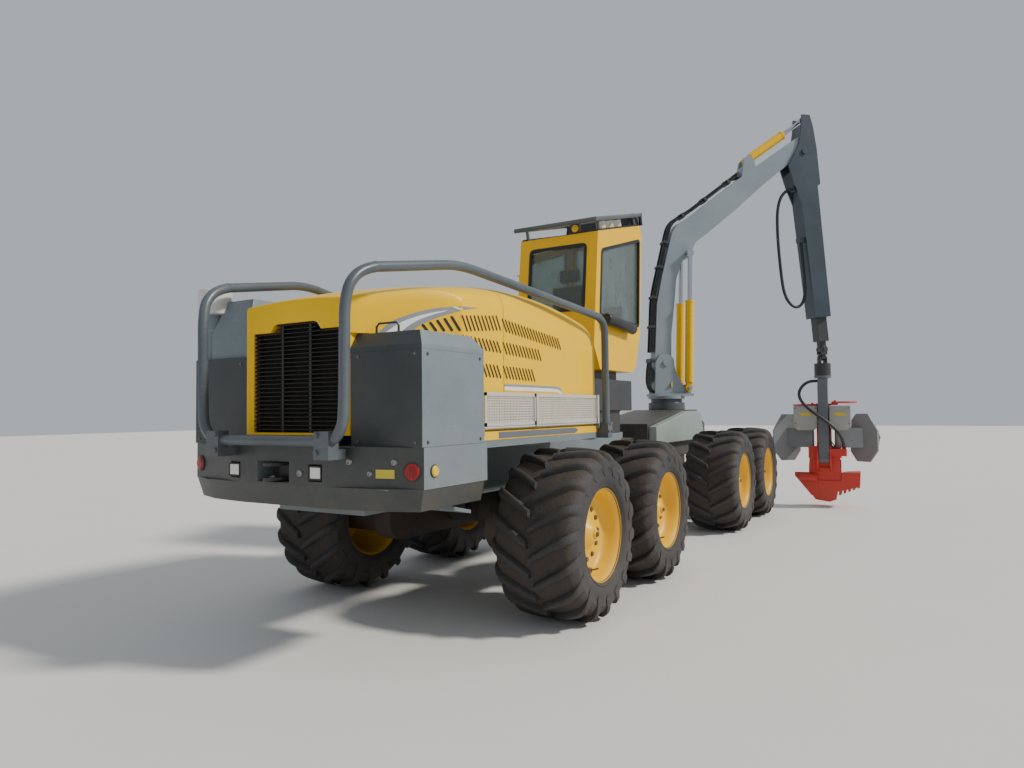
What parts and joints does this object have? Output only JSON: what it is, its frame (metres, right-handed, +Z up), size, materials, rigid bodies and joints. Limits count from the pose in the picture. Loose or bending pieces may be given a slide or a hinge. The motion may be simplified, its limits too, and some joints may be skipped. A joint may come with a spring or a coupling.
{
  "type": "forestry harvester",
  "caption": "Articulated forestry harvester with bogie wheels, a rear hood, a raised cab and a long crane that holds a felling and processing head",
  "frame": {"origin": "on the ground under the middle of the whole machine's box, crane and head included, in the pose of the picture", "axes": "+X forwards along the machine, from the rear bumper to the crane end; +Y to its left; +Z up"},
  "size_m": [10.1748, 4.346, 6.39],
  "materials": {
    "grey_steel": "satin",
    "dark_steel": "satin",
    "yellow_paint": "gloss",
    "red_paint": "satin",
    "pale_panel": "satin",
    "cast_block": "matte",
    "black_plastic": "matte",
    "step_alloy": "brushed",
    "window_glass": "clear",
    "seat_cloth": "woven",
    "lamp_lens": "gloss",
    "tyre_rubber": "matte",
    "rod_chrome": "polished",
    "roller_steel": "worn",
    "hose_rubber": "matte"
  },
  "bodies": {
    "rear": {"rear_frame": "grey_steel", "engine_block": "cast_block", "hood": "yellow_paint", "grille": "black_plastic", "rear_bumper": "grey_steel", "rear_boxes": "grey_steel", "right_box_cover": "grey_steel", "air_stack": "grey_steel", "hood_guard": "grey_steel", "rear_lights": "lamp_lens", "tow_hitch": "dark_steel", "cab_base": "dark_steel", "cab_shell": "yellow_paint", "cab_glass": "window_glass", "seat": "seat_cloth", "cab_controls": "black_plastic", "roof_guard": "grey_steel", "work_lights": "lamp_lens", "rear_axle": "dark_steel"},
    "right_step": {"right_step": "step_alloy"},
    "left_step": {"left_step": "step_alloy"},
    "cab_door": {"cab_door": "yellow_paint", "door_glass": "window_glass"},
    "front": {"front_frame": "grey_steel", "front_covers": "grey_steel", "front_axle": "dark_steel", "crane_base": "grey_steel"},
    "right_wheel_1": {"right_wheel_1": "tyre_rubber"},
    "right_wheel_2": {"right_wheel_2": "tyre_rubber"},
    "right_wheel_3": {"right_wheel_3": "tyre_rubber"},
    "right_wheel_4": {"right_wheel_4": "tyre_rubber"},
    "left_wheel_1": {"left_wheel_1": "tyre_rubber"},
    "left_wheel_2": {"left_wheel_2": "tyre_rubber"},
    "left_wheel_3": {"left_wheel_3": "tyre_rubber"},
    "left_wheel_4": {"left_wheel_4": "tyre_rubber"},
    "crane_foot": {"crane_foot": "grey_steel"},
    "main_boom": {"main_boom": "grey_steel"},
    "lift_barrels": {"lift_barrels": "yellow_paint"},
    "lift_rods": {"lift_rods": "rod_chrome"},
    "stick": {"stick": "grey_steel", "loop_hose": "hose_rubber"},
    "stick_barrel": {"stick_barrel": "yellow_paint"},
    "stick_rod": {"stick_rod": "rod_chrome"},
    "extension": {"extension": "dark_steel"},
    "hanger": {"hanger": "dark_steel"},
    "rotator_yoke": {"rotator_yoke": "dark_steel"},
    "head_bracket": {"head_bracket": "grey_steel", "head_hose": "hose_rubber"},
    "head": {"head_frame": "red_paint", "head_hoods": "pale_panel", "saw_box": "red_paint"},
    "left_feed_arm": {"left_feed_arm": "grey_steel"},
    "right_feed_arm": {"right_feed_arm": "grey_steel"},
    "left_roller": {"left_roller": "roller_steel"},
    "right_roller": {"right_roller": "roller_steel"},
    "left_knife": {"left_knife": "red_paint"},
    "right_knife": {"right_knife": "red_paint"}
  },
  "joints": [
    {"name": "right_step_fold", "type": "hinge", "parent": "rear", "child": "right_step", "pos_m": [-3.1024, -0.222, 1.492], "axis": [1, 0, 0], "range_deg": [0, 90]},
    {"name": "left_step_fold", "type": "hinge", "parent": "rear", "child": "left_step", "pos_m": [-3.1024, 1.61, 1.492], "axis": [-1, 0, 0], "range_deg": [0, 90]},
    {"name": "door_swing", "type": "hinge", "parent": "rear", "child": "cab_door", "pos_m": [-0.9224, 1.206, 3], "axis": [0, 0, 1], "range_deg": [0, 75]},
    {"name": "frame_steer", "type": "hinge", "parent": "rear", "child": "front", "pos_m": [0.3376, 0.694, 1.168], "axis": [0, 0, 1], "range_deg": [-38, 38]},
    {"name": "right_wheel_1_spin", "type": "hinge", "parent": "rear", "child": "right_wheel_1", "pos_m": [-3.1024, -0.446, 0.66], "axis": [0, 1, 0], "continuous": true},
    {"name": "left_wheel_1_spin", "type": "hinge", "parent": "rear", "child": "left_wheel_1", "pos_m": [-3.1024, 1.834, 0.66], "axis": [0, 1, 0], "continuous": true},
    {"name": "right_wheel_2_spin", "type": "hinge", "parent": "rear", "child": "right_wheel_2", "pos_m": [-1.5624, -0.446, 0.66], "axis": [0, 1, 0], "continuous": true},
    {"name": "left_wheel_2_spin", "type": "hinge", "parent": "rear", "child": "left_wheel_2", "pos_m": [-1.5624, 1.834, 0.66], "axis": [0, 1, 0], "continuous": true},
    {"name": "right_wheel_3_spin", "type": "hinge", "parent": "front", "child": "right_wheel_3", "pos_m": [1.5376, -0.446, 0.66], "axis": [0, 1, 0], "continuous": true},
    {"name": "left_wheel_3_spin", "type": "hinge", "parent": "front", "child": "left_wheel_3", "pos_m": [1.5376, 1.834, 0.66], "axis": [0, 1, 0], "continuous": true},
    {"name": "right_wheel_4_spin", "type": "hinge", "parent": "front", "child": "right_wheel_4", "pos_m": [3.0776, -0.446, 0.66], "axis": [0, 1, 0], "continuous": true},
    {"name": "left_wheel_4_spin", "type": "hinge", "parent": "front", "child": "left_wheel_4", "pos_m": [3.0776, 1.834, 0.66], "axis": [0, 1, 0], "continuous": true},
    {"name": "crane_slew", "type": "hinge", "parent": "front", "child": "crane_foot", "pos_m": [2.7576, 0.694, 1.8], "axis": [0, 0, 1], "range_deg": [-60, 160]},
    {"name": "boom_lift", "type": "hinge", "parent": "crane_foot", "child": "main_boom", "pos_m": [2.72289, 0.73537, 2.33], "axis": [-0.766, -0.6428, 0], "range_deg": [-20, 12]},
    {"name": "lift_barrels_swing", "type": "hinge", "parent": "crane_foot", "child": "lift_barrels", "pos_m": [2.95044, 0.46419, 1.935], "axis": [-0.766, -0.6428, 0], "range_deg": [-25, 16]},
    {"name": "lift_rods_slide", "type": "slide", "parent": "lift_barrels", "child": "lift_rods", "axis": [0.0188, -0.0224, 0.9996], "range_m": [-0.25, 0.2]},
    {"name": "stick_swing", "type": "hinge", "parent": "main_boom", "child": "stick", "pos_m": [4.28743, -1.12919, 5.78], "axis": [0.766, 0.6428, 0], "range_deg": [-35, 4]},
    {"name": "stick_barrel_swing", "type": "hinge", "parent": "main_boom", "child": "stick_barrel", "pos_m": [3.67679, -0.40144, 5.625], "axis": [-0.766, -0.6428, 0], "range_deg": [-3, 12]},
    {"name": "stick_rod_slide", "type": "slide", "parent": "stick_barrel", "child": "stick_rod", "axis": [0.5236, -0.624, 0.5801], "range_m": [-0.35, 0.08]},
    {"name": "extension_slide", "type": "slide", "parent": "stick", "child": "extension", "axis": [-0.0582, 0.0694, 0.9959], "range_m": [-1.5, 0.3]},
    {"name": "hanger_swing", "type": "hinge", "parent": "extension", "child": "hanger", "pos_m": [4.4867, -1.36666, 2.56], "axis": [-0.766, -0.6428, 0], "range_deg": [-25, 25]},
    {"name": "yoke_swing", "type": "hinge", "parent": "hanger", "child": "rotator_yoke", "pos_m": [4.4867, -1.36666, 2.42], "axis": [0.6428, -0.766, 0], "range_deg": [-30, 30]},
    {"name": "rotator_turn", "type": "hinge", "parent": "rotator_yoke", "child": "head_bracket", "pos_m": [4.4867, -1.36666, 2.13], "axis": [0, 0, 1], "continuous": true},
    {"name": "head_tilt", "type": "hinge", "parent": "head_bracket", "child": "head", "pos_m": [4.36699, -1.37503, 0.78], "axis": [-0.0698, 0.9976, 0], "range_deg": [0, 85]},
    {"name": "left_arm_swing", "type": "hinge", "parent": "head", "child": "left_feed_arm", "pos_m": [4.50267, -1.16505, 1.095], "axis": [0, 0, 1], "range_deg": [-38, 8]},
    {"name": "right_arm_swing", "type": "hinge", "parent": "head", "child": "right_feed_arm", "pos_m": [4.53058, -1.56408, 1.095], "axis": [0, 0, 1], "range_deg": [-8, 38]},
    {"name": "left_roller_spin", "type": "hinge", "parent": "left_feed_arm", "child": "left_roller", "pos_m": [4.6736, -0.75642, 1.12], "axis": [0.7771, 0.6293, 0], "continuous": true},
    {"name": "right_roller_spin", "type": "hinge", "parent": "right_feed_arm", "child": "right_roller", "pos_m": [4.75671, -1.94495, 1.12], "axis": [0.8572, -0.515, 0], "continuous": true},
    {"name": "left_knife_swing", "type": "hinge", "parent": "head", "child": "left_knife", "pos_m": [4.50477, -1.19498, 1.655], "axis": [0, 0, 1], "range_deg": [-30, 12]},
    {"name": "right_knife_swing", "type": "hinge", "parent": "head", "child": "right_knife", "pos_m": [4.52848, -1.53415, 1.692], "axis": [0, 0, 1], "range_deg": [-12, 30]}
  ],
  "couplings": [
    {"joint": "lift_barrels_swing", "follows": "boom_lift", "ratio": 0.82845},
    {"joint": "lift_rods_slide", "follows": "boom_lift", "m_per_rad": 0.38401},
    {"joint": "stick_barrel_swing", "follows": "stick_swing", "ratio": -0.23091},
    {"joint": "stick_rod_slide", "follows": "stick_swing", "m_per_rad": 0.4815},
    {"joint": "right_arm_swing", "follows": "left_arm_swing", "ratio": -1},
    {"joint": "right_knife_swing", "follows": "left_knife_swing", "ratio": -1}
  ]
}
